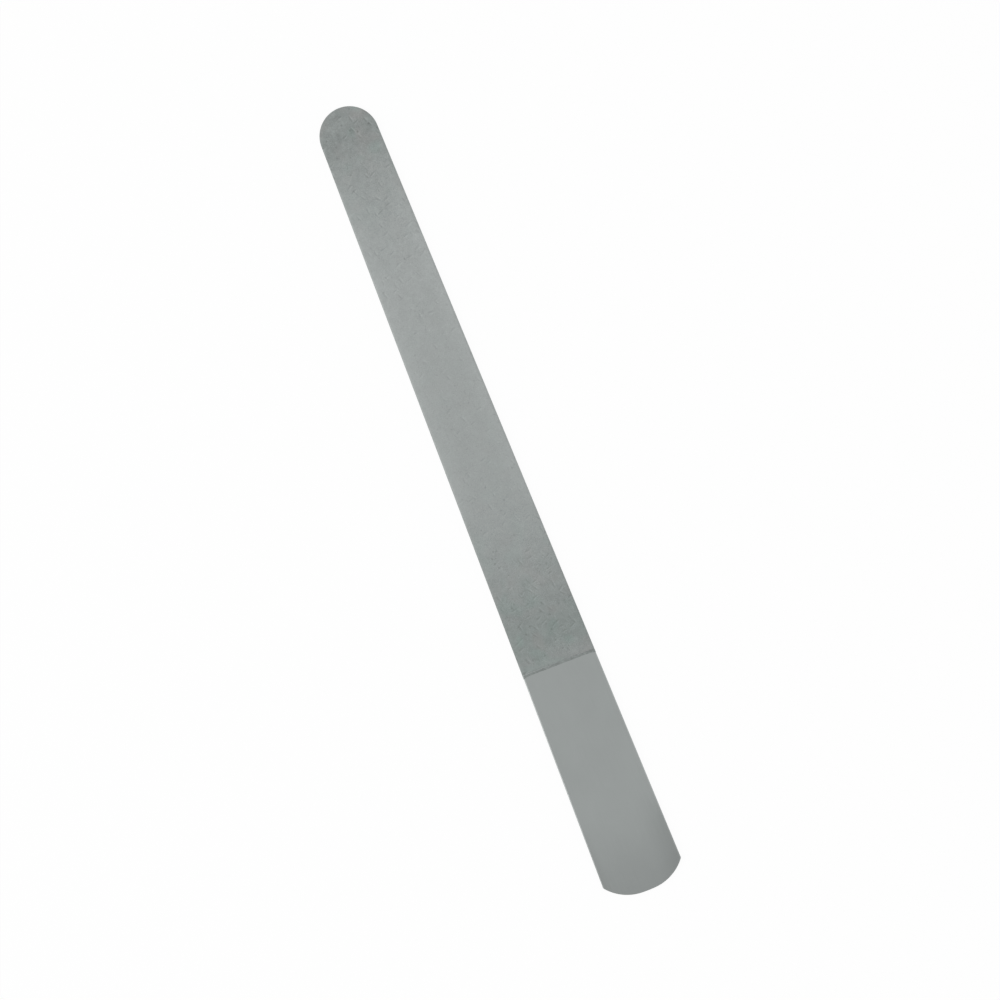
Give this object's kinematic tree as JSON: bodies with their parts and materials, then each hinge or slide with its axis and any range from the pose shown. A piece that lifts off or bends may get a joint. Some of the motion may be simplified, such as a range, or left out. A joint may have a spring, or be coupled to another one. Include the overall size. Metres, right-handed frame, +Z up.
{
  "type": "nail file",
  "caption": "Long flat steel nail file: tapered blade with a rounded tip, coarse and fine abrasive faces, and a smooth handle with a convex end.",
  "frame": {"origin": "under the middle of the file, on the surface that it lies on with its fine side down", "axes": "+Y from the butt of the handle to the tip, +Z up from the fine face to the coarse face, +X across"},
  "size_m": [0.0198, 0.2, 0.0014],
  "materials": {
    "satin_steel": "satin",
    "bare_nickel": "satin",
    "coarse_grit": "matte",
    "fine_grit": "matte"
  },
  "bodies": {
    "root": {"steel_blank": "satin_steel", "nickel_jacket": "bare_nickel", "coarse_grit_coat": "coarse_grit", "fine_grit_coat": "fine_grit"}
  },
  "joints": []
}
